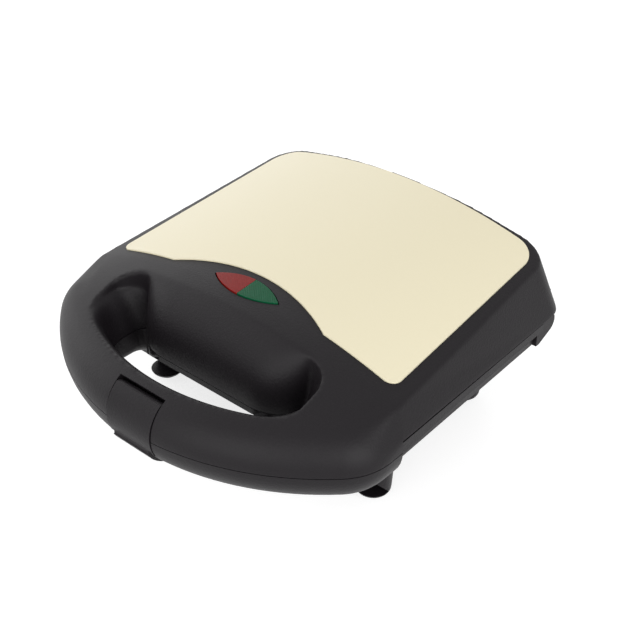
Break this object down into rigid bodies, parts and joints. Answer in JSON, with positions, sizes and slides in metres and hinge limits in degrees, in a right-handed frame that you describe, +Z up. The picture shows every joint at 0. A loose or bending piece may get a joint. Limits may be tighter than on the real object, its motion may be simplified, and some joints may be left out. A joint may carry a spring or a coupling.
{
  "type": "sandwich toaster",
  "caption": "Electric sandwich toaster with a hinged crowned lid, loop handle with a latch clip, cream top panel, signal lamps and coated cooking plates with triangular pockets.",
  "frame": {"origin": "middle of the footprint at the table, under the closed toaster", "axes": "+X to the right side seen from the handle, +Y from the handle to the hinge, +Z up"},
  "size_m": [0.23, 0.2314, 0.113],
  "materials": {
    "black_plastic": "fine spark-eroded texture",
    "cream_panel": "satin cream with a bright edge",
    "red_lens": "translucent red",
    "green_lens": "translucent green, fluted",
    "white_plastic": "plain moulded",
    "lamp_glass": "clear with a warm tint",
    "coated_plate": "dark non-stick coating over an aluminium casting",
    "heater_steel": "heat-tinted",
    "bright_sheet": "rolled sheet",
    "zinc_steel": "zinc plated",
    "thermostat_ceramic": "unglazed",
    "fuse_metal": "bright",
    "rubber": "matte"
  },
  "bodies": {
    "base": {"base_shell": "black_plastic", "lower_plate": "coated_plate", "lower_element": "heater_steel", "lower_reflector": "bright_sheet", "lower_screws": "zinc_steel", "terminal_block": "white_plastic", "foot_pads": "rubber", "hinge_pins": "zinc_steel"},
    "lid": {"lid_shell": "black_plastic", "top_panel": "cream_panel", "red_lens": "red_lens", "green_lens": "green_lens", "lamp_holder": "white_plastic", "neon_lamps": "lamp_glass", "upper_plate": "coated_plate", "upper_element": "heater_steel", "upper_reflector": "bright_sheet", "upper_screws": "zinc_steel", "thermostat": "thermostat_ceramic", "thermal_fuse": "fuse_metal", "latch_pin": "zinc_steel"},
    "latch": {"latch_clip": "black_plastic"}
  },
  "joints": [
    {"name": "lid_hinge", "type": "hinge", "parent": "base", "child": "lid", "pos_m": [0, 0.1024, 0.0593], "axis": [-1, 0, 0], "range_deg": [0, 100]},
    {"name": "latch_hinge", "type": "hinge", "parent": "lid", "child": "latch", "pos_m": [0, -0.10515, 0.07211], "axis": [-1, 0, 0], "range_deg": [0, 35]}
  ]
}
